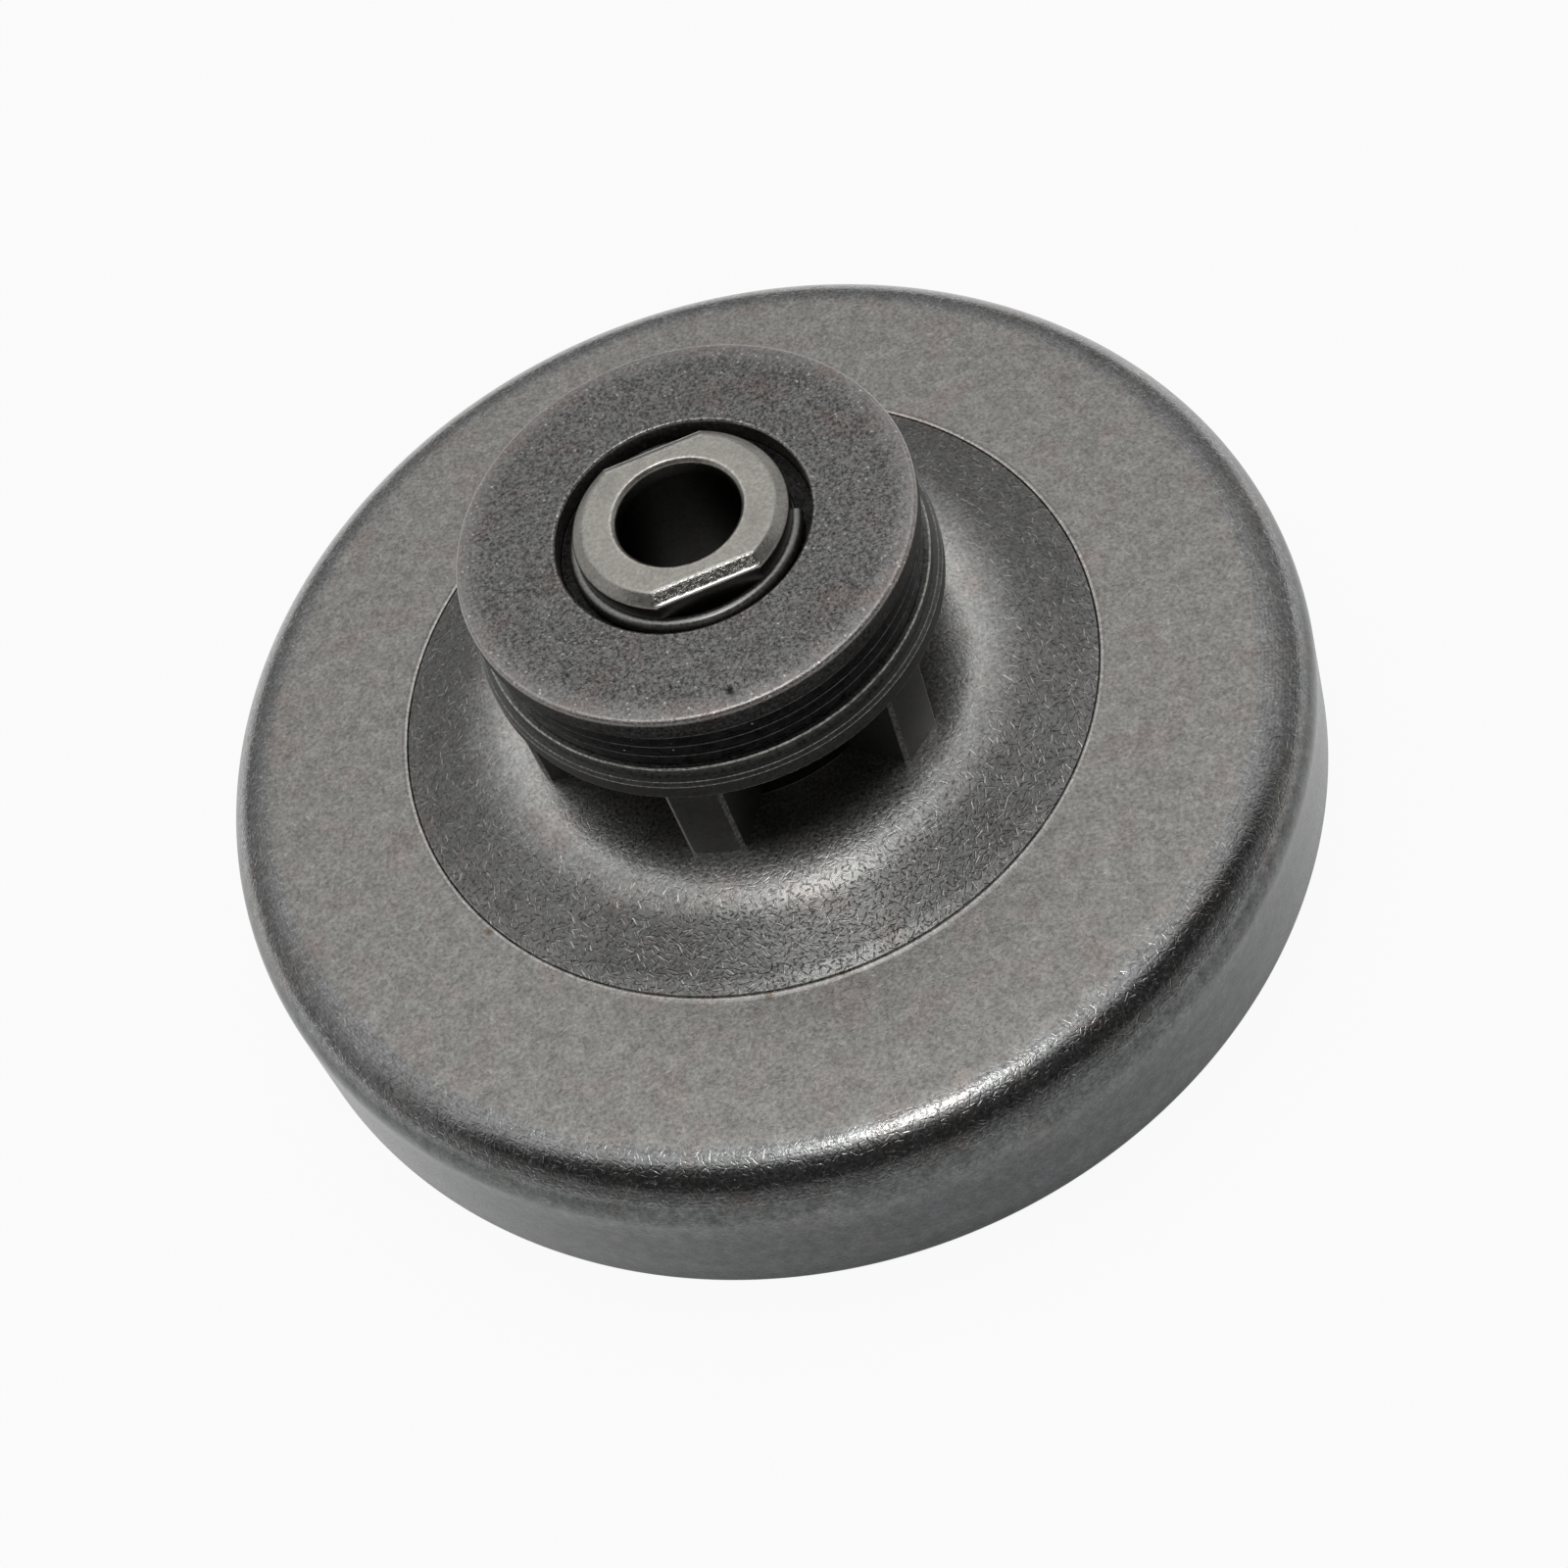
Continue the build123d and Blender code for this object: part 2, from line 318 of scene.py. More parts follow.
def profile(corners, spacing, guard=EDGE_GUARD, closed=True):
    """A rounded line whose long runs hold a point every spacing at most, and one a guard from each end.

    The guard points keep a flat run's shading flat up to the arcs beside it.
    """
    line = rounded_line(corners, closed)
    whole = np.vstack([line, line[:1]]) if closed else line
    along = lengths_along(whole)
    places = [along[:-1] if closed else along]
    for start, end in zip(along[:-1], along[1:]):
        if end - start > 3 * guard:
            places.append(np.linspace(start + guard, end - guard, 1 + ceil((end - start) / spacing)))
    places = np.unique(np.round(np.concatenate(places), 9))
    return np.stack([np.interp(places, along, whole[:, axis]) for axis in (0, 1)], 1)


def edge_trait(line, closed=True):
    """How sharp and proud a line is at each point: its left turn for each length, times EDGE_RADIUS."""
    before, after, turn = runs_at(line)
    step = (np.linalg.norm(before, axis=1) + np.linalg.norm(after, axis=1)) / 2
    sharp = np.clip(turn / np.maximum(step, 1e-9) * EDGE_RADIUS, 0, 1)
    if not closed:
        sharp[[0, -1]] = 0
    return sharp


def even_angles(count):
    """Angles evenly round the bore."""
    return np.arange(count) * 2 * pi / count


def turned_rings(line, angles):
    """Rings of a turned piece: each (radius, height) of the line carried round the bore at the angles."""
    radius, height = line[:, 0, None], line[:, 1, None]
    return np.stack([radius * np.cos(angles), radius * np.sin(angles), height + 0 * angles], -1)


def keyed_rings(radius, flat, height, arc_points=72, flat_points=24):
    """Rings of a round with two flats: an arc about +X, a flat at +Y, an arc about -X and a flat at -Y.

    The arcs end where the sine of the angle is flat / radius. Radius, flat and height each hold one value to
    a ring, or one for all rings.
    """
    radius, flat, height = (value[:, None] for value in np.broadcast_arrays(radius, flat, height))
    corner = np.arcsin(flat / radius)
    swing = corner * np.linspace(-1, 1, arc_points)
    run = radius * np.cos(corner) * np.linspace(1, -1, flat_points + 2)[1:-1]
    x = np.concatenate([radius * np.cos(swing), run, -radius * np.cos(swing), -run], 1)
    y = np.concatenate([radius * np.sin(swing), flat + 0 * run, -radius * np.sin(swing), -flat + 0 * run], 1)
    return np.stack([x, y, height + 0 * x], -1)


def ring_angles(ring):
    """The angle of each point of a ring, for round rings that join on to it."""
    return np.arctan2(ring[:, 1], ring[:, 0])


def ring_mesh(name, rings, joined=True, **traits):
    """A skin over rings[k, i], point i of ring k, with a quad between each two neighbours both ways.

    Rings go up outer walls, inwards over tops, down inner walls and outwards below, so that faces point
    outwards. The last ring joins the first, unless joined is false. A trait is one value to a ring, one value
    to a point or one vector to a point.
    """
    count, around = rings.shape[:2]
    ring = np.arange(count if joined else count - 1)[:, None]
    point = np.arange(around)[None, :]
    next_ring, next_point = (ring + 1) % count, (point + 1) % around
    quads = np.stack([
        ring * around + point, ring * around + next_point,
        next_ring * around + next_point, next_ring * around + point], -1).reshape(-1)
    mesh = bpy.data.meshes.new(name)
    mesh.vertices.add(count * around)
    mesh.vertices.foreach_set("co", rings.astype(np.float32).ravel())
    mesh.loops.add(len(quads))
    mesh.loops.foreach_set("vertex_index", quads.astype(np.int32))
    mesh.polygons.add(len(quads) // 4)
    mesh.polygons.foreach_set("loop_start", np.arange(0, len(quads), 4, dtype=np.int32))
    for trait, values in traits.items():
        values = np.asarray(values, np.float32)
        if values.ndim == 3:
            layer = mesh.attributes.new(trait, "FLOAT_VECTOR", "POINT")
            layer.data.foreach_set("vector", values.ravel())
        else:
            values = np.broadcast_to(values[:, None] if values.ndim == 1 else values, (count, around))
            mesh.attributes.new(trait, "FLOAT", "POINT").data.foreach_set("value", values.ravel())
    mesh.update(calc_edges=True)
    mesh.shade_smooth()
    mesh.set_sharp_from_angle(angle=SHARP_ANGLE)
    return mesh


def add_piece(mesh, body, node, material):
    """Puts a finished skin in the scene in place of its packed node."""
    piece = bpy.data.objects.new(mesh.name, mesh)
    bpy.context.scene.collection.objects.link(piece)
    mesh.materials.append(material)
    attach(piece, body)
    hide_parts(node)


# Finishes

class Nodes:
    """A node tree while it is put together. Any input takes a value or another node's socket."""

    def __init__(self, owner):
        owner.use_nodes = True
        self.tree = owner.node_tree
        self.tree.nodes.clear()

    def add(self, kind, inputs=None, **settings):
        """A new node with its settings and inputs."""
        node = self.tree.nodes.new(kind)
        for key, value in settings.items():
            setattr(node, key, value)
        for key, value in (inputs or {}).items():
            if isinstance(value, bpy.types.NodeSocket):
                self.tree.links.new(value, node.inputs[key])
            else:
                node.inputs[key].default_value = value
        return node

    def math(self, operation, first, second=0.0):
        """One step of arithmetic on two numbers."""
        return self.add("ShaderNodeMath", {0: first, 1: second}, operation=operation).outputs[0]

    def plus(self, first, second):
        """The first number and the second together."""
        return self.math("ADD", first, second)

    def minus(self, first, second):
        """The first number less the second."""
        return self.math("SUBTRACT", first, second)

    def times(self, first, second):
        """The first number multiplied by the second."""
        return self.math("MULTIPLY", first, second)

    def vector(self, operation, first, second):
        """One step of arithmetic on two vectors, or on a vector and the number that scales it."""
        inputs = {0: first, "Scale" if operation == "SCALE" else 1: second}
        step = self.add("ShaderNodeVectorMath", inputs, operation=operation)
        return step.outputs["Value" if operation == "DISTANCE" else "Vector"]

    def remap(self, value, low, high, to_low=0.0, to_high=1.0, kind="LINEAR"):
        """A value's place between low and high, as a place between to_low and to_high, held at both ends."""
        inputs = {"Value": value, "From Min": low, "From Max": high, "To Min": to_low, "To Max": to_high}
        return self.add("ShaderNodeMapRange", inputs, interpolation_type=kind).outputs["Result"]


class Finish(Nodes):
    """A finish's nodes: textures in millimetres of the part's own frame, and the metal shader they feed."""

    def __init__(self, name):
        self.material = bpy.data.materials.new(name)
        super().__init__(self.material)
        place = self.add("ShaderNodeTexCoord").outputs["Object"]
        self.place = self.vector("SCALE", place, 1 / MM)

    def noise(self, size, detail=2.0, roughness=0.5):
        """Soft noise whose patches are about size millimetres across."""
        inputs = {"Vector": self.place, "Scale": 1 / size, "Detail": detail, "Roughness": roughness}
        return self.add("ShaderNodeTexNoise", inputs).outputs["Fac"]

    def span(self, noise, low, high):
        """A noise as a value between low and high; it seldom leaves 0.3 to 0.7."""
        return self.remap(noise, 0.3, 0.7, low, high)

    def trait(self, name, kind="Fac"):
        """A value that the skin carries."""
        return self.add("ShaderNodeAttribute", attribute_name=name).outputs[kind]

    def shade(self, base, factor):
        """A colour made lighter or darker by a factor."""
        return self.vector("SCALE", base, factor)

    def tone(self, base, mask, factor):
        """A colour shaded by a factor where a mask is whole, and left alone where it is nothing."""
        return self.shade(base, self.remap(mask, 0.0, 1.0, 1.0, factor))

    def mottle(self, base, noise, low, high):
        """A colour shaded by a noise, from low times as bright to high times."""
        return self.shade(base, self.span(noise, low, high))

    def blend(self, factor, first, second):
        """From the first colour to the second."""
        way = self.vector("SUBTRACT", second, first)
        return self.vector("ADD", first, self.vector("SCALE", way, factor))

    def tint(self, base, film, factor):
        """A colour seen through a film of another, as thick as the factor."""
        return self.vector("MULTIPLY", base, self.blend(factor, (1, 1, 1), film))

    def spot(self, middle, size):
        """A round spot that fades out size millimetres from its middle."""
        return self.remap(self.vector("DISTANCE", self.place, middle), size, 0.3 * size)

    def flecks(self, cell, size, chosen):
        """Round flecks about size millimetres across, in a chosen share of an uneven pattern of cells."""
        cells = self.add("ShaderNodeTexVoronoi", {"Vector": self.place, "Scale": 1 / cell})
        chance = self.add("ShaderNodeSeparateColor", {"Color": cells.outputs["Color"]}).outputs["Red"]
        here = self.remap(cells.outputs["Distance"], 0.6 * size / cell, 0.4 * size / cell)
        return self.times(here, self.math("LESS_THAN", chance, chosen))

    def scratches(self, place, cell, run, width, drift):
        """Short straight scratches, one to a cell of an uneven pattern, and a chance value for each cell.

        Measured from the middle of its cell and turned by the cell's own angle, a point is in the scratch
        where it lies within half the run along and half the width across. Both fade towards their ends.
        """
        moved = self.vector("ADD", place, (drift, drift, 0))
        inputs = {"Vector": moved, "Scale": 1 / cell}
        cells = self.add("ShaderNodeTexVoronoi", inputs, voronoi_dimensions="2D")
        arm = self.vector("SUBTRACT", moved, cells.outputs["Position"])
        chance = self.add("ShaderNodeSeparateColor", {"Color": cells.outputs["Color"]})
        swing = self.times(chance.outputs["Red"], 2 * pi)
        turned = self.add("ShaderNodeVectorRotate", {"Vector": arm, "Angle": swing}, rotation_type="Z_AXIS")
        parts = self.add("ShaderNodeSeparateXYZ", {"Vector": turned.outputs[0]})
        along = self.remap(self.math("ABSOLUTE", parts.outputs["X"]), run / 2, run / 4)
        across = self.remap(self.math("ABSOLUTE", parts.outputs["Y"]), width / 2, width / 6)
        return self.times(along, across), chance.outputs["Green"]

    def metal(self, base, roughness, height, depth):
        """The metal shader with its colour, roughness and relief of a depth in millimetres."""
        relief = self.add("ShaderNodeBump", {"Height": height, "Distance": depth * MM, "Strength": 1.0})
        inputs = {"Base Color": base, "Metallic": 1.0, "Roughness": roughness, "Normal": relief.outputs[0]}
        shader = self.add("ShaderNodeBsdfPrincipled", inputs)
        self.add("ShaderNodeOutputMaterial", {"Surface": shader.outputs[0]})
        return self.material


def drum_finish(colours):
    """Tumbled steel: matt and mottled on the flat top, scratched on the dome, darker on the skirt.

    The dome is burnished, lightened by painted light on its crest and most where the sprocket's shadow falls.
    Painted shade darkens the foot of the skirt, and the skirt's dark colour is partly painted shade.
    """
    finish = Finish("tumbled drum steel")
    polish, skirt, worn, edge = (finish.trait(name) for name in ("polish", "skirt", "worn", "edge"))
    unrolled = finish.trait("unrolled", "Vector")
    grain, cloud = finish.noise(0.24, 3.0, 0.66), finish.noise(1.3, 3.0, 0.6)
    long_marks, long_chance = finish.scratches(unrolled, cell=0.70, run=0.72, width=0.13, drift=3.1)
    short_marks, short_chance = finish.scratches(unrolled, cell=0.44, run=0.46, width=0.12, drift=11.7)
    bright = finish.times(long_marks, finish.remap(long_chance, 0.45, 0.6))
    dark = finish.times(short_marks, finish.remap(short_chance, 0.4, 0.5, 0.0, 0.8))

    # The skirt's dark colour is partly painted shade for the shaded floor that it reflects
    base = finish.blend(skirt, finish.blend(polish, colours.flat, colours.dome), colours.skirt)
    base = finish.tint(base, colours.film, finish.remap(finish.noise(3.0, 2.0), 0.5, 0.75, 0.0, 0.6))
    # Painted light on the crest and where the sprocket's shadow falls, painted shade low on the skirt; the
    # flank is toned darker
    for zone, factor in (("crest", 1.26), ("sheltered", 1.45), ("flank", 0.75), ("rim", 0.5)):
        base = finish.tone(base, finish.trait(zone), factor)
    base = finish.mottle(base, grain, 0.62, 1.4)
    base = finish.mottle(base, cloud, 0.86, 1.14)
    stains = finish.times(finish.span(finish.noise(0.8, 3.0, 0.65), -0.32, 0.32), skirt)
    base = finish.shade(base, finish.plus(stains, 1.0))
    base = finish.tone(base, finish.times(bright, worn), 2.0)
    base = finish.tone(base, finish.times(dark, worn), 0.45)
    base = finish.tone(base, edge, 2.2)
    for x, y, z, size in RUST_SPECKS:
        speck = finish.times(finish.spot((x, y, z), size), finish.remap(grain, 0.4, 0.6, 0.3, 0.9))
        base = finish.blend(speck, base, colours.rust)

    smooth = finish.plus(finish.remap(polish, 0.0, 1.0, 0.45, 0.20), finish.times(skirt, 0.08))
    roughness = finish.plus(smooth, finish.span(grain, -0.05, 0.05))
    marks = finish.times(finish.plus(long_marks, short_marks), worn)
    height = finish.minus(finish.noise(0.22, 3.0, 0.6), marks)
    return finish.metal(base, roughness, height, depth=0.014)


def disc_finish(colours):
    """Sintered steel: speckled by its pressed grains, worn bright round the rim, oily and dark lower down.

    The counterbore's wall carries painted light as pale as the rim, and painted shade darkens the
    counterbore's floor and the keyed hole. Each dent has its shadow on the -X side.
    """
    finish = Finish("sintered disc steel")
    edge, oil, crown = finish.trait("edge"), finish.trait("oil"), finish.trait("crown")
    grain = finish.noise(0.22, 3.0, 0.7)
    pores = finish.remap(finish.noise(0.15, 1.0), 0.60, 0.70)
    glints = finish.flecks(cell=0.42, size=0.16, chosen=0.4)
    base = finish.tint(colours.disc, colours.film, finish.remap(finish.noise(3.0, 2.0), 0.52, 0.72, 0.0, 0.8))
    contrast = finish.remap(crown, 0.0, 1.0, 1.0, 0.4)
    speckle = finish.times(finish.remap(grain, 0.36, 0.64, -0.6, 0.68), contrast)
    base = finish.shade(base, finish.plus(speckle, 1.0))
    base = finish.tone(base, finish.minus(pores, crown), 0.5)
    base = finish.tone(base, glints, 2.0)
    # The crown is worn pale round the rim; on the counterbore's wall it is painted light
    base = finish.tint(base, colours.film, finish.times(crown, 0.35))
    base = finish.tone(base, crown, 1.62)
    base = finish.shade(base, finish.remap(edge, 0.0, 0.4, 1.0, 1.35))
    # Oil darkens the disc's lower outside; in the counterbore's floor and the keyed hole the darkening is
    # painted shade
    base = finish.tone(base, oil, 0.12)
    for x, y, width, _ in DENTS:
        middle, lit_side = ((x + shift * width, y, top("pressure_disc") / MM) for shift in (0, 0.5))
        shadow = finish.minus(finish.spot(middle, width), finish.spot(lit_side, width))
        base = finish.shade(base, finish.remap(shadow, 0.0, 0.6, 1.0, 0.2))
    matt = finish.minus(finish.span(grain, 0.40, 0.54), finish.times(edge, 0.26))
    roughness = finish.minus(matt, finish.times(oil, 0.15))
    height = finish.minus(finish.noise(0.2, 3.0, 0.6), pores)
    return finish.metal(base, roughness, height, depth=0.016)


def hub_finish(colours):
    """Turned steel: pale on the head, pitted and bright along its edges, with painted light on its chamfer
    and painted shade in the bore.
    """
    finish = Finish("turned hub steel")
    edge, inside, chamfer = finish.trait("edge"), finish.trait("inside"), finish.trait("chamfer")
    grain = finish.noise(0.2, 3.0, 0.7)
    pits = finish.times(finish.remap(finish.noise(0.32, 3.0, 0.7), 0.45, 0.6), chamfer)
    base = finish.mottle(colours.hub, grain, 0.98, 1.66)
    base = finish.shade(base, finish.remap(finish.noise(1.6, 2.0), 0.5, 0.75, 1.0, 0.86))
    # Painted light on the chamfer, strongest on the near flat
    base = finish.tone(base, chamfer, 1.25)
    base = finish.tone(base, pits, 0.64)
    chips = finish.times(edge, finish.remap(finish.noise(0.3, 3.0, 0.7), 0.4, 0.55, 0.35, 1.0))
    base = finish.shade(base, finish.remap(chips, 0.0, 0.6, 0.75, 1.9))
    # Painted shade in the bore, the socket and under the chamfer
    base = finish.tone(base, inside, 0.08)
    roughness = finish.minus(finish.span(grain, 0.3, 0.42), finish.times(chamfer, 0.12))
    height = finish.minus(finish.noise(0.12, 2.0), finish.times(pits, 3.0))
    return finish.metal(base, roughness, height, depth=0.006)


def sprocket_finish(colours):
    """Hardened dark steel with a fine grain; its broken edges are bright here and there."""
    finish = Finish("hardened sprocket steel")
    edge, grain = finish.trait("edge"), finish.noise(0.18, 3.0, 0.6)
    base = finish.mottle(colours.sprocket, grain, 0.75, 1.25)
    chips = finish.times(edge, finish.remap(finish.noise(0.22, 2.0), 0.46, 0.62, 0.25, 1.0))
    base = finish.tone(base, chips, 3.2)
    roughness = finish.span(grain, 0.30, 0.46)
    return finish.metal(base, roughness, finish.noise(0.12, 3.0), depth=0.006)


def washer_finish(colours):
    """Ground steel under an oily film, speckled bright along its edges."""
    finish = Finish("ground washer steel")
    edge, grain = finish.trait("edge"), finish.noise(0.25, 3.0, 0.6)
    base = finish.mottle(colours.washer, grain, 0.6, 1.25)
    chips = finish.times(edge, finish.remap(grain, 0.4, 0.6, 0.3, 1.0))
    base = finish.tone(base, chips, 2.2)
    return finish.metal(base, finish.span(grain, 0.24, 0.4), finish.noise(0.15, 2.0), depth=0.005)


def spring_finish(colours):
    """Blackened spring steel, wet with oil in patches, with a few small painted highlights of oil drops."""
    finish = Finish("oiled spring steel")
    edge, grain = finish.trait("edge"), finish.noise(0.3, 3.0, 0.6)
    painted_drop_glints = finish.flecks(cell=0.7, size=0.13, chosen=0.1)
    base = finish.mottle(colours.spring, grain, 0.5, 1.4)
    base = finish.tone(base, edge, 1.4)
    # Painted highlights of oil drops
    base = finish.blend(painted_drop_glints, base, (0.9, 0.9, 0.9))
    roughness = finish.remap(finish.noise(0.9, 2.0), 0.45, 0.6, 0.38, 0.2)
    return finish.metal(base, roughness, finish.noise(0.25, 3.0), depth=0.012)


def ring_finish(colours):
    """Drawn spring wire with a soft oily shine."""
    finish = Finish("drawn ring wire")
    grain = finish.noise(0.2, 2.0)
    base = finish.mottle(colours.ring, grain, 0.75, 1.25)
    return finish.metal(base, finish.span(grain, 0.28, 0.4), finish.noise(0.2, 2.0), depth=0.003)


# Pieces

def drum_skin(sizes):
    """The drum's section turned about the bore.

    The section goes up the flared skirt, over the shoulder's arc, in along the flat top, over a low lip and
    down into the coined crease, up the flank from its gentler foot and over the crest's bend to the hole,
    then back below at the sheet's thickness. Scratches are laid out on the plane that it unrolls to from the
    hole.
    """
    flat, foot, lip = sizes.flat_height, sizes.foot_radius, sizes.lip_width
    crease_round, foot_bend, hole_round, hole_round_under = 0.05 * MM, 4.0 * MM, 0.1 * MM, 0.3 * MM
    rim = sizes.radius + sizes.skirt_flare
    lean = sizes.skirt_flare / flat
    half_slope = tan(sizes.slope / 2)
    foot_top = flat + (sizes.foot_run - sizes.crease_width) * tan(sizes.foot_slope)
    crest_radius = foot - sizes.foot_run - (sizes.crest_height - foot_top) / tan(sizes.slope)
    crest_under, flat_under = sizes.crest_height - sizes.sheet, flat - sizes.sheet
    wall_under = sizes.radius - sizes.sheet * (sqrt(1 + lean * lean) - lean)
    shoulder_start = sizes.radius - sizes.shoulder * tan((pi / 2 - lean) / 2)
    droop_start = shoulder_start - sizes.lead
    line = profile([
        (rim, 0, sizes.rim_round),
        (sizes.radius, flat - (sizes.radius - droop_start) * tan(sizes.droop), sizes.shoulder),
        (droop_start, flat, sizes.lead / tan(sizes.droop / 2)),
        (foot + lip, flat, lip),
        (foot + 0.4 * lip, flat + sizes.lip_height, 0.7 * lip),
        (foot, flat + 0.6 * sizes.lip_height, 0.15 * lip),
        (foot, flat - sizes.crease_depth, 0.0),
        (foot - sizes.crease_width, flat, crease_round),
        (foot - sizes.foot_run, foot_top, foot_bend),
        (crest_radius, sizes.crest_height, sizes.crest_bend),
        (sizes.hole_radius, sizes.crest_height, hole_round),
        (sizes.hole_radius, crest_under, hole_round_under),
        (crest_radius - sizes.sheet * half_slope, crest_under, sizes.crest_bend - sizes.sheet),
        (foot - sizes.sheet * half_slope, flat_under, sizes.sheet),
        (wall_under, flat_under, sizes.shoulder - sizes.sheet),
        (rim - sizes.sheet * sqrt(1 + lean * lean), 0, sizes.rim_round),
    ], 2.5 * MM)
    angles = even_angles(DRUM_SEGMENTS)
    radius, height, along = line[:, 0], line[:, 1], lengths_along(line)
    spread = (sizes.hole_radius + np.abs(along - along[np.argmin(radius)]))[:, None] / MM
    unrolled = np.stack([spread * np.cos(angles), spread * np.sin(angles), 0 * spread * angles], -1)
    # Where each point lies: bent over the shoulder, on the dome, down its flank, dropped below the flat top
    bent = np.clip((radius - shoulder_start) / (0.1 * sizes.shoulder), 0, 1)
    dome = np.clip((foot - radius) / DOME_FADE, 0, 1)
    down = np.clip((radius - crest_radius) / CREST_FADE + 0.35, 0, 1)
    drop = (flat - height) / sizes.shoulder
    skirt = bent * (0.78 * np.clip((drop - 0.29) / 0.24, 0, 1) + 0.22 * np.clip((drop - 0.8) / 0.8, 0, 1))
    # The crest and the ring under the sprocket get painted light, and the foot of the skirt a painted shade
    # from the floor's contact shadow
    return ring_mesh(
        "pressed_drum", turned_rings(line, angles), polish=np.maximum(bent, DOME_POLISH * dome),
        crest=dome * (1 - down), flank=dome * down, skirt=skirt,
        rim=bent * np.clip((PAINTED_RIM_SHADE_BAND - height) / PAINTED_RIM_SHADE_FADE, 0, 1),
        worn=np.clip(0.22 + 0.25 * bent + 0.78 * dome * down - 0.4 * skirt, 0, 1),
        sheltered=np.clip((PAINTED_LIGHT_RADIUS - radius) / PAINTED_LIGHT_FADE, 0, 1),
        edge=edge_trait(line) * (height > sizes.sheet), unrolled=unrolled)


def tooth_outline(sizes):
    """Plan of the toothed ring, and how near each point is to a tip's broken edge.

    Half a tooth is the root's arc, a fillet arc that touches the root circle and the straight flank, the
    flank, the broken edge and the tip's arc. The half is mirrored, and the tooth is turned round the bore
    once for each tooth.
    """
    taper = (sizes.root_width - sizes.tip_width) / (sizes.tip_radius - sizes.root_radius) / 2
    waist = sizes.tip_width / 2 + taper * sizes.tip_radius
    normal = np.array([taper, 1]) / sqrt(1 + taper * taper)
    lift = sizes.root_fillet * normal
    stretch, middle = 1 + taper * taper, lift[0] - taper * (waist + lift[1])
    beyond = lift[0] ** 2 + (waist + lift[1]) ** 2 - (sizes.root_radius + sizes.root_fillet) ** 2
    foot_x = (-middle + sqrt(middle * middle - stretch * beyond)) / stretch
    foot = np.array([foot_x, waist - taper * foot_x])
    centre = foot + lift
    lean = taper * waist
    tip_x = (lean + sqrt(lean * lean - stretch * (waist * waist - sizes.tip_radius ** 2))) / stretch
    tip = np.array([tip_x, waist - taper * tip_x])
    flank_end = tip + (foot - tip) / np.linalg.norm(foot - tip) * sizes.tip_chamfer
    tip_angle = np.arctan2(tip[1], tip[0]) - sizes.tip_chamfer / sizes.tip_radius

    root_points, bend_points, flank_points, crown_points = 5, 9, 8, 5
    root = np.linspace(pi / sizes.tooth_count, np.arctan2(centre[1], centre[0]), root_points)
    bend = np.linspace(
        np.arctan2(-centre[1], -centre[0]), np.arctan2(-normal[1], -normal[0]), bend_points)[1:]
    reach_out = np.linalg.norm(flank_end - foot)
    flank = np.append(np.linspace(0, 1 - EDGE_GUARD / reach_out, flank_points)[1:], 1.0)[:, None]
    crown = np.append(tip_angle, np.linspace(tip_angle - EDGE_GUARD / sizes.tip_radius, 0, crown_points))
    half = np.concatenate([
        sizes.root_radius * np.stack([np.cos(root), np.sin(root)], 1),
        centre + sizes.root_fillet * np.stack([np.cos(bend), np.sin(bend)], 1),
        foot + flank * (flank_end - foot),
        sizes.tip_radius * np.stack([np.cos(crown), np.sin(crown)], 1),
    ])
    broken = np.isin(np.arange(len(half)), (len(half) - len(crown) - 1, len(half) - len(crown)))
    tooth = np.concatenate([half * [1, -1], half[-2:0:-1]])
    broken = np.concatenate([broken, broken[-2:0:-1]])
    turns = sizes.tooth_turn + np.arange(sizes.tooth_count)[:, None] * 2 * pi / sizes.tooth_count
    x = np.cos(turns) * tooth[:, 0] - np.sin(turns) * tooth[:, 1]
    y = np.sin(turns) * tooth[:, 0] + np.cos(turns) * tooth[:, 1]
    return np.stack([x.ravel(), y.ravel()], 1), np.tile(broken.astype(float), sizes.tooth_count)


def sprocket_skin(sizes, drum):
    """The spigot in the drum's hole, the tooth plan carried up from the crest to the flange, and the flange.

    Round rings stand at the tooth plan's own angles, so that they join on to it point by point.
    """
    plan, broken = tooth_outline(sizes)
    angles = ring_angles(plan)
    foot, cap = top("brake_drum"), top("chain_sprocket")
    seat, under = bottom("chain_sprocket"), cap - sizes.flange_thickness
    nick, soft = 0.08 * MM, 0.06 * MM
    below = np.array([
        (sizes.bush_radius + nick, seat), (drum.hole_radius - nick, seat), (drum.hole_radius, seat + nick),
        (drum.hole_radius, foot - nick), (drum.hole_radius, foot)])
    above = profile([
        (sizes.flange_radius - nick, under), (sizes.flange_radius, under, nick),
        (sizes.flange_radius, cap - sizes.flange_chamfer, soft),
        (sizes.flange_radius - sizes.flange_chamfer, cap, soft),
        (sizes.bush_radius, cap, nick), (sizes.bush_radius, seat)], 1.0 * MM, closed=False)
    heights = np.array([foot, foot + nick, (foot + under) / 2, under - nick, under])
    teeth = np.stack(np.broadcast_arrays(plan[:, 0], plan[:, 1], heights[:, None]), -1)
    rings = np.concatenate([turned_rings(below, angles), teeth, turned_rings(above, angles)])
    edge = np.zeros(rings.shape[:2])
    edge[len(below):len(below) + len(heights)] = broken
    edge[len(below) + len(heights):] = edge_trait(above, closed=False)[:, None]
    return ring_mesh("toothed_sprocket", rings, edge=edge)


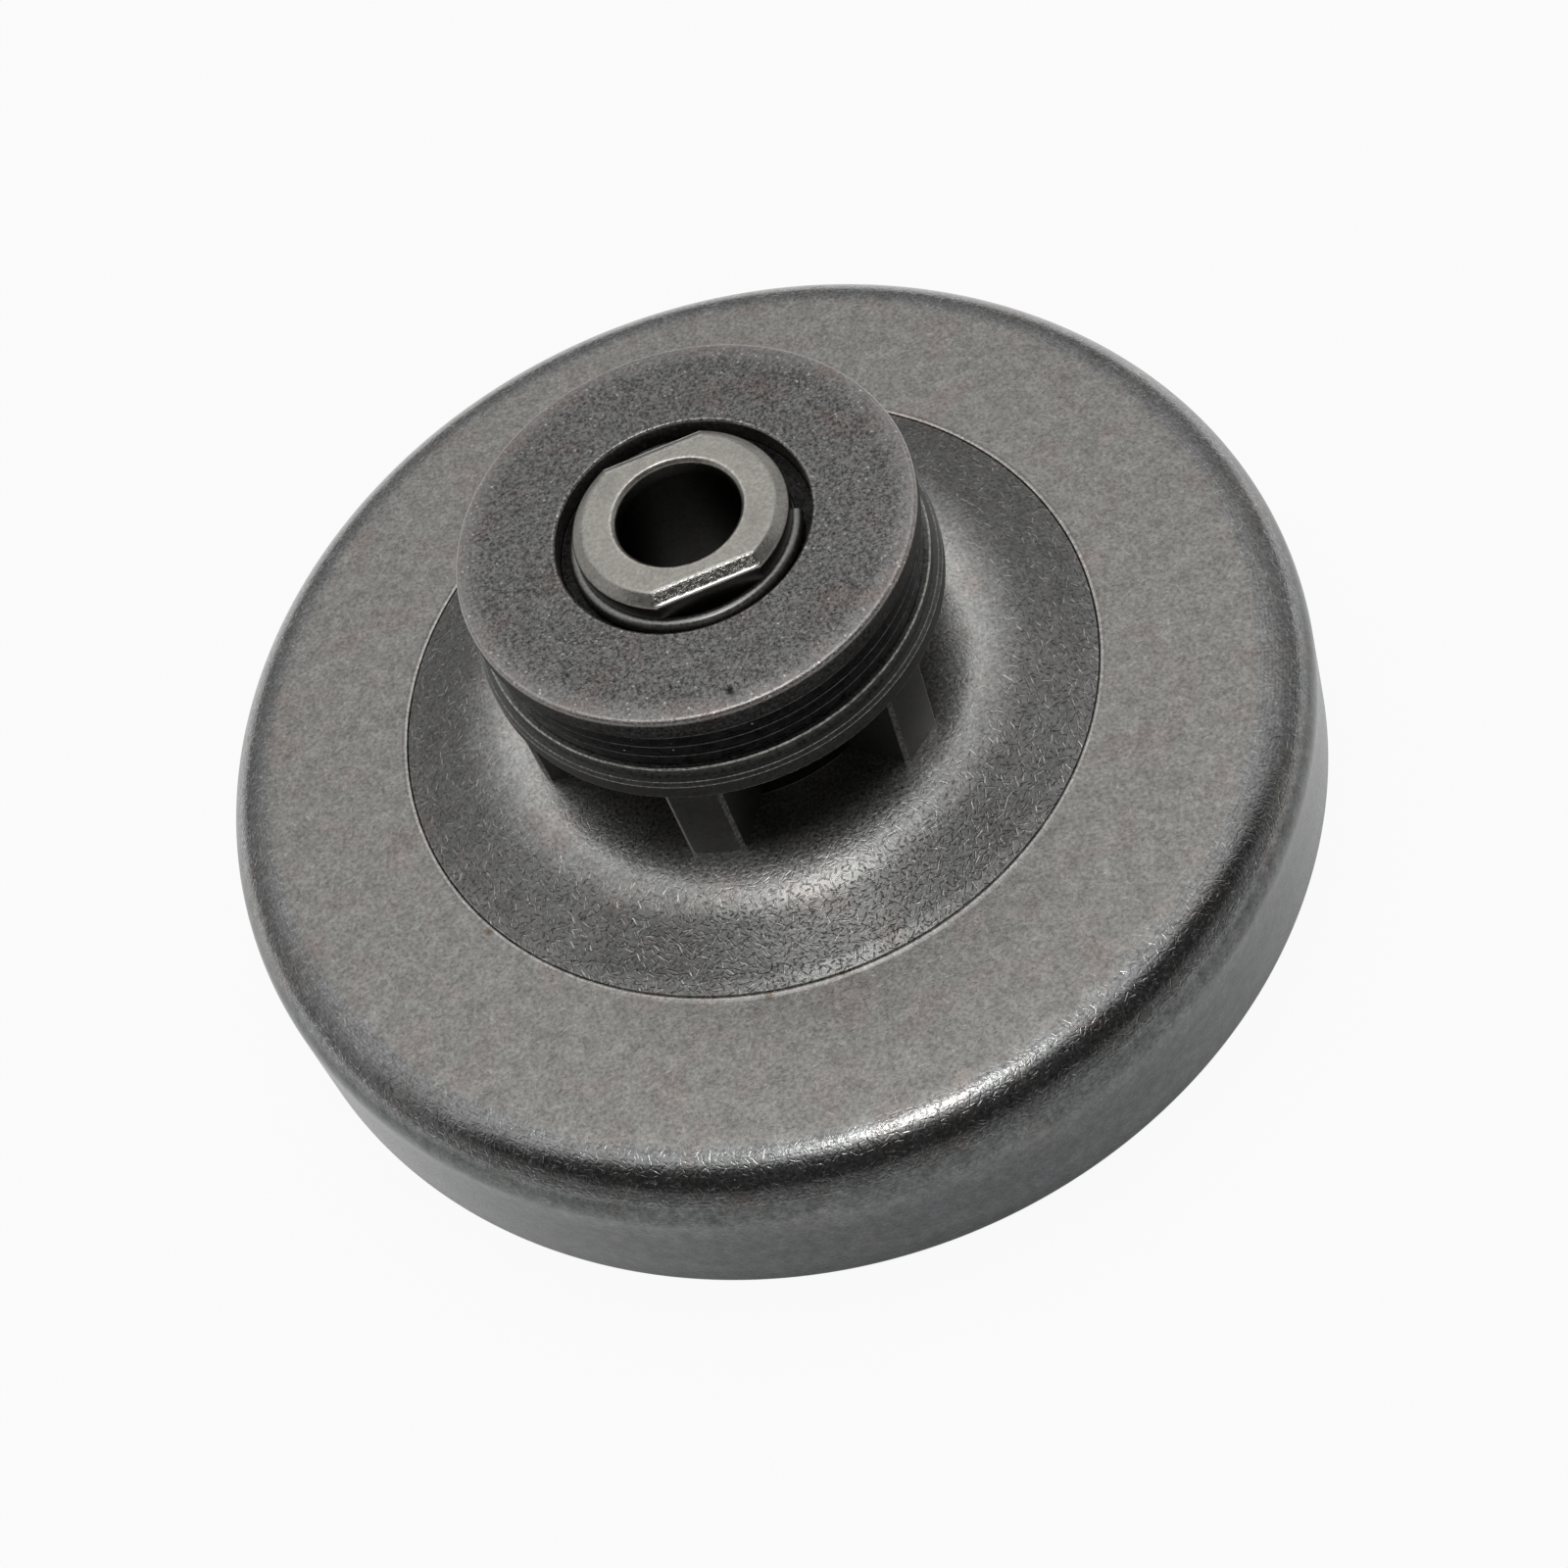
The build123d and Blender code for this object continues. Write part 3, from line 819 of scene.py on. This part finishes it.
def hub_skin(sizes):
    """The lower flange and barrel, the keyed end with its ring groove and head, the bore and the socket.

    The groove takes the radius in to where the wire's circle, with its clearance, stands at that height. The
    flats stay clear of it. The chamfer takes radius and flats in alike, and on the flats a burr stands along
    its foot.
    """
    foot, head = bottom("drive_hub"), top("drive_hub")
    shelf, seat = foot + sizes.flange_thickness, top("chain_sprocket")
    ring_low, ring_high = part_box("snap_ring")
    ring_height, wire = (ring_low.z + ring_high.z) / 2, (ring_high.z - ring_low.z) / 2
    wire_circle = ring_high.y - wire
    groove = wire + sizes.groove_clearance
    half_groove = sqrt(groove ** 2 - (wire_circle - sizes.radius) ** 2)
    fine, worn = 0.07 * MM, 0.42 * MM
    burr_top, burr_rise, burr_run = 0.15 * MM, 0.05 * MM, 0.35 * MM

    chamfer_start = head - sizes.head_chamfer_height
    rise = half_groove * np.linspace(-1, 1, 15)
    groove_radius = wire_circle - np.sqrt(groove ** 2 - rise ** 2)
    wall = np.array([seat, (seat + ring_height) / 2, ring_height - half_groove - fine])
    head_line = profile([
        (0, ring_height + half_groove + fine), (0, chamfer_start, worn), (-sizes.head_chamfer, head, worn),
        (-sizes.head_chamfer - worn, head)], 0.05 * MM, guard=0.02 * MM, closed=False)
    inset, height = head_line[:, 0], head_line[:, 1]
    # The burr starts a little above the chamfer's foot, stands up at once and fades out down the flat
    lower = chamfer_start + burr_top - height
    burr = np.clip(lower / burr_rise, 0, 1) * np.clip(1 - lower / burr_run, 0, 1)
    radius = np.concatenate([np.full(len(wall), sizes.radius), groove_radius, sizes.radius + inset])
    flat = np.append(np.full(len(wall) + len(rise), sizes.flat), sizes.flat + inset + sizes.burr * burr)
    keyed = keyed_rings(radius, flat, np.concatenate([wall, ring_height + rise, height]))
    angles = ring_angles(keyed[0])

    flange = profile([
        (sizes.socket_radius + fine, foot), (sizes.flange_radius - sizes.flange_chamfer, foot, fine),
        (sizes.flange_radius, foot + sizes.flange_chamfer, fine), (sizes.flange_radius, shelf, fine),
        (sizes.radius, shelf), (sizes.radius, seat)], 1.0 * MM, closed=False)
    bore = profile([
        (sizes.bore + sizes.bore_chamfer + 3 * fine, head), (sizes.bore + sizes.bore_chamfer, head, 3 * fine),
        (sizes.bore, head - sizes.bore_chamfer, 3 * fine), (sizes.bore, foot + sizes.socket_depth)],
        1.0 * MM, closed=False)
    socket = keyed_rings(
        sizes.socket_radius, sizes.socket_flat, foot + np.array([sizes.socket_depth, fine, 0]))
    rings = np.concatenate([turned_rings(flange, angles), keyed, turned_rings(bore, angles), socket])
    head_start, bore_start = len(flange) + len(wall) + len(rise), len(flange) + len(keyed)
    bore_end = bore_start + len(bore)
    on_flat = np.isclose(np.abs(keyed[-len(head_line):, :, 1]), flat[-len(head_line):, None], atol=1e-9)
    sloped = (height > chamfer_start) & (height < head - fine / 4)
    proud = np.maximum(edge_trait(head_line, closed=False), burr > 0.6)
    # Edges are bright on the flats and round the bore. Pits and painted light lie on the flats' chamfer,
    # fainter on the far one
    edge = np.zeros(rings.shape[:2])
    edge[head_start:bore_start] = np.where(on_flat, proud[:, None], 0.03 * sloped[:, None])
    edge[bore_start:bore_end] = 0.45 * edge_trait(bore, closed=False)[:, None]
    chamfer = np.zeros(rings.shape[:2])
    chamfer[head_start:bore_start] = (sloped & (burr < 0.3))[:, None] & on_flat
    chamfer[rings[..., 1] > 0] *= 0.3
    # Painted shade darkens the bore, the socket and the wall under the chamfer, but not the far flat
    inside = np.zeros(rings.shape[:2])
    depth = head - sizes.bore_chamfer - bore[:, 1]
    inside[bore_start:bore_end] = np.clip(depth / (0.3 * MM), 0, 1)[:, None]
    inside[bore_end:] = 1.0
    oily_wall = (keyed[..., 2] < chamfer_start - fine) & (keyed[..., 1] < 0.99 * sizes.flat)
    inside[len(flange):bore_start] = 0.8 * oily_wall
    return ring_mesh("turned_hub", rings, edge=edge, inside=inside, chamfer=chamfer)


def keyed_washer_skin(sizes, hub):
    """The friction washer: a rounded rim turned about the bore, and a keyed hole clear of the hub's flats."""
    low, high, rim = bottom("friction_washer"), top("friction_washer"), reach("friction_washer")
    hole = keyed_rings(hub.radius + sizes.key_clearance, hub.flat + sizes.key_clearance, [high, low])
    line = profile([
        (rim - 1.0 * MM, low), (rim, low, sizes.washer_round), (rim, high, sizes.washer_round),
        (rim - 1.0 * MM, high)], 0.4 * MM, closed=False)
    rings = np.concatenate([turned_rings(line, ring_angles(hole[0])), hole])
    edge = np.append(edge_trait(line, closed=False), np.zeros(len(hole)))
    return ring_mesh("upper_friction_washer", rings, edge=edge)


def plain_washer_skin(sizes, teeth):
    """The inner friction washer: a flat ring's section with rounded edges, turned about the bore."""
    node = "inner_friction_washer"
    low, high, rim = bottom(node), top(node), reach(node)
    hole, soft = teeth.bush_radius, sizes.washer_round
    line = profile([(rim, low, soft), (rim, high, soft), (hole, high, soft), (hole, low, soft)], 1.0 * MM)
    return ring_mesh(
        "lower_friction_washer", turned_rings(line, even_angles(SPRING_SEGMENTS)), edge=edge_trait(line))


def spring_skin(sizes, number):
    """A disc spring: a slanting section, inner edge up, with rounded corners, turned about the bore."""
    node = SPRING_NODES[number]
    pitch = (bottom(SPRING_NODES[-1]) - bottom(SPRING_NODES[0])) / (len(SPRING_NODES) - 1)
    low, rim = top("friction_washer") + number * pitch, reach(node)
    high, cone = low + sizes.spring_thickness, sizes.spring_cone
    hole, soft = sizes.spring_inner, sizes.spring_round
    line = profile([
        (rim, low, soft), (rim, high, soft), (hole, high + cone, soft), (hole, low + cone, soft)], 1.0 * MM)
    rings = turned_rings(line, even_angles(SPRING_SEGMENTS))
    return ring_mesh(f"coned_spring_{number + 1}", rings, edge=edge_trait(line))


def disc_skin(sizes, hub):
    """The pressure disc: collar, rounded rim and counterbore turned about the bore, and a keyed hole.

    Small dents in the top face are hollows of a bell curve's depth round their middles. The crown, which
    shows worn and pale, is a band inside the rim; on the counterbore's wall its paleness is painted light.
    """
    cap, collar_foot, rim = top("pressure_disc"), bottom("pressure_disc"), reach("pressure_disc")
    under, seat = cap - sizes.disc_thickness, cap - sizes.counterbore_depth
    fine, crown_fade = 0.1 * MM, 1.3 * MM
    line = profile([
        (sizes.collar - 1.0 * MM, collar_foot), (sizes.collar, collar_foot, fine), (sizes.collar, under),
        (rim, under, sizes.disc_round),
        (rim, cap - sizes.disc_crown * tan(sizes.crown_slope), sizes.disc_round),
        (rim - sizes.disc_crown, cap, 0.5 * sizes.disc_crown / tan(sizes.crown_slope / 2)),
        (sizes.counterbore + sizes.counterbore_chamfer, cap, 2 * fine),
        (sizes.counterbore, cap - sizes.counterbore_chamfer, 0.5 * fine),
        (sizes.counterbore, seat, fine), (sizes.counterbore - 0.5 * MM, seat)], 0.25 * MM, closed=False)
    hole = keyed_rings(
        hub.radius + sizes.key_clearance, hub.flat + sizes.key_clearance, [seat, seat - fine, collar_foot],
        arc_points=DISC_SEGMENTS * 3 // 8, flat_points=DISC_SEGMENTS // 8)
    rings = turned_rings(line, ring_angles(hole[0]))
    for x, y, width, depth in DENTS:
        away = np.hypot(rings[..., 0] - x * MM, rings[..., 1] - y * MM) / (width * MM)
        rings[..., 2] -= depth * MM * np.exp(-away ** 2) * (rings[..., 2] > cap - sizes.disc_round)
    rings = np.concatenate([rings, hole])
    radius, height = line[:, 0], line[:, 1]
    # The counterbore's wall gets the crown and a bright edge as painted light
    painted_lit_wall = (np.abs(radius - sizes.counterbore) < fine / 4) & (height > seat + fine)
    crown = np.clip((radius - rim) / crown_fade + 1.3, 0, 1) * (height > cap - sizes.disc_round)
    crown[painted_lit_wall] = 1
    edge = edge_trait(line, closed=False)
    edge[painted_lit_wall] = 0.4
    # Oil on the outer wall, underside and collar; in the counterbore's floor and the keyed hole the dark is
    # painted shade
    outside = 0.75 * np.clip((cap - height) / (0.5 * sizes.disc_round) - 0.9, 0, 1)
    inside = np.where(height > seat + fine, 0.05, 1.0) * (height < cap - sizes.counterbore_chamfer)
    oil = np.where(radius > sizes.counterbore + fine, outside, inside)
    rest = np.zeros(len(hole))
    return ring_mesh(
        "sintered_disc", rings, edge=np.append(edge * (oil < 0.3), rest), crown=np.append(crown, rest),
        oil=np.append(oil, rest + 1))


def ring_skin(sizes):
    """The snap ring: the wire's circle carried along an open arc round the bore, with flat cut ends.

    At each end the circle shrinks to a point in the plane of the cut, and the cut's edge is broken by a share
    of the wire's radius.
    """
    low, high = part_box("snap_ring")
    height, wire = (low.z + high.z) / 2, (high.z - low.z) / 2
    path = high.y - wire
    broken = 0.12
    inset = broken * wire / path
    first, last = sizes.gap_start + sizes.gap, sizes.gap_start + 2 * pi
    run = np.linspace(first + inset, last - inset, RING_STEPS)
    sweep = np.concatenate([[first, first], run, [last, last]])[:, None]
    swell = np.concatenate([[0, 1 - broken], np.ones(RING_STEPS), [1 - broken, 0]])[:, None]
    round_wire = even_angles(WIRE_SEGMENTS)
    out = path + wire * swell * np.cos(round_wire)
    up = height - wire * swell * np.sin(round_wire)
    rings = np.stack([out * np.cos(sweep), out * np.sin(sweep), up], -1)
    mesh = ring_mesh("wire_snap_ring", rings, joined=False)
    shape = bmesh.new()
    shape.from_mesh(mesh)
    bmesh.ops.remove_doubles(shape, verts=shape.verts, dist=1e-7)
    shape.to_mesh(mesh)
    shape.free()
    return mesh


# The stage

def floor_finish(studio):
    """White to the eye and in reflections, with an ordinary floor mixed in that keeps the part's shadow."""
    finish = Finish("studio floor")
    rays = finish.add("ShaderNodeLightPath")
    mirrored = finish.math("MAXIMUM", rays.outputs["Is Glossy Ray"], rays.outputs["Is Transmission Ray"])
    seen = finish.math("MAXIMUM", rays.outputs["Is Camera Ray"], mirrored)
    pale = finish.add("ShaderNodeBsdfDiffuse", {"Color": (0.92, 0.92, 0.92, 1)})
    glow = finish.add("ShaderNodeEmission", {"Color": (1, 1, 1, 1), "Strength": 1.0})
    cover = finish.times(seen, studio.floor_glow)
    mixed = finish.add("ShaderNodeMixShader", {0: cover, 1: pale.outputs[0], 2: glow.outputs[0]})
    finish.add("ShaderNodeOutputMaterial", {"Surface": mixed.outputs[0]})
    return finish.material


def add_floor(studio):
    """A wide flat floor under the rim."""
    half, below = 1.5, -0.02 * MM
    mesh = bpy.data.meshes.new("studio_floor")
    corners = [(-half, -half, below), (half, -half, below), (half, half, below), (-half, half, below)]
    mesh.from_pydata(corners, [], [(0, 1, 2, 3)])
    mesh.materials.append(floor_finish(studio))
    floor = bpy.data.objects.new("studio_floor", mesh)
    bpy.context.scene.collection.objects.link(floor)


def add_camera(studio, drum):
    """The camera over the drum's near side, leant about its own line of sight."""
    back = Vector((0, -cos(studio.elevation), sin(studio.elevation)))
    level = Vector((1, 0, 0))
    upright = back.cross(level)
    right = cos(studio.roll) * level + sin(studio.roll) * upright
    up = back.cross(right)
    middle = Vector((0, 0, drum.flat_height))
    place = middle + back * studio.distance + right * studio.aside + up * studio.above
    data = bpy.data.cameras.new("studio_camera")
    data.lens = studio.lens
    data.clip_start = 0.01
    camera = bpy.data.objects.new("studio_camera", data)
    camera.matrix_world = Matrix.Translation(place) @ Matrix((right, up, back)).transposed().to_4x4()
    bpy.context.scene.collection.objects.link(camera)
    bpy.context.scene.camera = camera


def add_lamp(studio):
    """A small soft lamp overhead that looks down on the drum."""
    data = bpy.data.lights.new("lamp_overhead", "AREA")
    data.shape = "DISK"
    data.energy = studio.lamp_power
    data.size = studio.lamp_size
    place = Vector((0, studio.lamp_aside, studio.lamp_height))
    lamp = bpy.data.objects.new("lamp_overhead", data)
    lamp.matrix_world = Matrix.Translation(place) @ place.to_track_quat("Z", "Y").to_matrix().to_4x4()
    bpy.context.scene.collection.objects.link(lamp)


def add_room(studio):
    """A pale tent, brighter overhead and dark on the camera's side; white to the eye.

    The brightness is low + (high - low) * z * z of the direction's height z. It is dimmed where the direction
    turns towards -Y, sooner away to the sides and more so above the horizon.
    """
    near_start, near_full, side_width, side_lead = -0.26, -0.44, 0.5, 0.3
    loss_start, loss_full = 0.25, 0.50
    world = bpy.data.worlds.new("studio_room")
    nodes = Nodes(world)
    direction = nodes.add("ShaderNodeTexCoord").outputs["Generated"]
    way = nodes.add("ShaderNodeSeparateXYZ", {0: direction}).outputs
    height = nodes.times(way["Z"], way["Z"])
    tent = nodes.remap(height, 0.0, 1.0, studio.room_low, studio.room_high)
    aside = nodes.remap(nodes.math("ABSOLUTE", way["X"]), 0.0, side_width, 0.0, side_lead)
    near = nodes.remap(nodes.minus(way["Y"], aside), near_start, near_full, kind="SMOOTHSTEP")
    loss = nodes.remap(way["Z"], loss_start, loss_full, studio.near_loss_low, studio.near_loss)
    light = nodes.times(tent, nodes.minus(1.0, nodes.times(near, loss)))
    eye = nodes.add("ShaderNodeLightPath").outputs["Is Camera Ray"]
    strength = nodes.math("MAXIMUM", light, eye)
    background = nodes.add("ShaderNodeBackground", {"Color": (1, 1, 1, 1), "Strength": strength})
    nodes.add("ShaderNodeOutputWorld", {"Surface": background.outputs[0]})
    bpy.context.scene.world = world


# Operators, one to a piece or group of like pieces

class SPROCKET_OT_drum(bpy.types.Operator):
    """Build the pressed brake drum"""
    bl_idname = "slip_sprocket.drum"
    bl_label = "Brake drum"

    def execute(self, context):
        scene = context.scene
        add_piece(drum_skin(scene.sprocket_drum), "drum", "brake_drum",
                  drum_finish(scene.sprocket_colours))
        return {"FINISHED"}


class SPROCKET_OT_teeth(bpy.types.Operator):
    """Build the toothed sprocket with its flange"""
    bl_idname = "slip_sprocket.teeth"
    bl_label = "Toothed sprocket"

    def execute(self, context):
        scene = context.scene
        add_piece(sprocket_skin(scene.sprocket_teeth, scene.sprocket_drum), "drum", "chain_sprocket",
                  sprocket_finish(scene.sprocket_colours))
        return {"FINISHED"}


class SPROCKET_OT_hub(bpy.types.Operator):
    """Build the turned drive hub"""
    bl_idname = "slip_sprocket.hub"
    bl_label = "Drive hub"

    def execute(self, context):
        scene = context.scene
        add_piece(hub_skin(scene.sprocket_hub), "hub", "drive_hub",
                  hub_finish(scene.sprocket_colours))
        return {"FINISHED"}


class SPROCKET_OT_washers(bpy.types.Operator):
    """Build the two friction washers"""
    bl_idname = "slip_sprocket.washers"
    bl_label = "Friction washers"

    def execute(self, context):
        scene = context.scene
        stack, material = scene.sprocket_stack, washer_finish(scene.sprocket_colours)
        add_piece(keyed_washer_skin(stack, scene.sprocket_hub), "hub", "friction_washer",
                  material)
        add_piece(plain_washer_skin(stack, scene.sprocket_teeth), "hub", "inner_friction_washer",
                  material)
        return {"FINISHED"}


class SPROCKET_OT_springs(bpy.types.Operator):
    """Build the nested disc springs"""
    bl_idname = "slip_sprocket.springs"
    bl_label = "Disc springs"

    def execute(self, context):
        scene = context.scene
        material = spring_finish(scene.sprocket_colours)
        for number, node in enumerate(SPRING_NODES):
            add_piece(spring_skin(scene.sprocket_stack, number), "hub", node, material)
        return {"FINISHED"}


class SPROCKET_OT_disc(bpy.types.Operator):
    """Build the sintered pressure disc"""
    bl_idname = "slip_sprocket.disc"
    bl_label = "Pressure disc"

    def execute(self, context):
        scene = context.scene
        add_piece(disc_skin(scene.sprocket_stack, scene.sprocket_hub), "hub", "pressure_disc",
                  disc_finish(scene.sprocket_colours))
        return {"FINISHED"}


class SPROCKET_OT_ring(bpy.types.Operator):
    """Build the wire snap ring"""
    bl_idname = "slip_sprocket.ring"
    bl_label = "Snap ring"

    def execute(self, context):
        scene = context.scene
        add_piece(ring_skin(scene.sprocket_stack), "hub", "snap_ring",
                  ring_finish(scene.sprocket_colours))
        return {"FINISHED"}


class SPROCKET_OT_stage(bpy.types.Operator):
    """Set the floor, room, lamp and camera"""
    bl_idname = "slip_sprocket.stage"
    bl_label = "Stage"

    def execute(self, context):
        studio = context.scene.sprocket_studio
        add_floor(studio)
        add_room(studio)
        add_lamp(studio)
        add_camera(studio, context.scene.sprocket_drum)
        context.scene.view_settings.view_transform = "Standard"
        return {"FINISHED"}


OPERATORS = (
    SPROCKET_OT_drum, SPROCKET_OT_teeth, SPROCKET_OT_hub, SPROCKET_OT_washers, SPROCKET_OT_springs,
    SPROCKET_OT_disc, SPROCKET_OT_ring, SPROCKET_OT_stage,
)


class SPROCKET_PT_panel(bpy.types.Panel):
    """Lists the pieces and their settings"""
    bl_idname = "SPROCKET_PT_panel"
    bl_label = "Slip clutch sprocket"
    bl_space_type = "VIEW_3D"
    bl_region_type = "UI"
    bl_category = "Sprocket"

    def draw(self, context):
        for operator in OPERATORS:
            self.layout.operator(operator.bl_idname)
        for name, group in SETTINGS.items():
            box = self.layout.box()
            box.label(text=group.__doc__)
            for field in group.__annotations__:
                box.prop(getattr(context.scene, name), field)


CLASSES = (*SETTINGS.values(), *OPERATORS, SPROCKET_PT_panel)


def register():
    """Registers the classes and hangs the settings on the scene."""
    for cls in CLASSES:
        bpy.utils.register_class(cls)
    for name, group in SETTINGS.items():
        setattr(bpy.types.Scene, name, bpy.props.PointerProperty(type=group))


def unregister():
    """Takes the settings off the scene and unregisters the classes."""
    for name in SETTINGS:
        delattr(bpy.types.Scene, name)
    for cls in reversed(CLASSES):
        bpy.utils.unregister_class(cls)


def main():
    """Builds every piece and the stage."""
    register()
    bpy.ops.slip_sprocket.drum()
    bpy.ops.slip_sprocket.teeth()
    bpy.ops.slip_sprocket.hub()
    bpy.ops.slip_sprocket.washers()
    bpy.ops.slip_sprocket.springs()
    bpy.ops.slip_sprocket.disc()
    bpy.ops.slip_sprocket.ring()
    bpy.ops.slip_sprocket.stage()


if __name__ == "__main__":
    main()
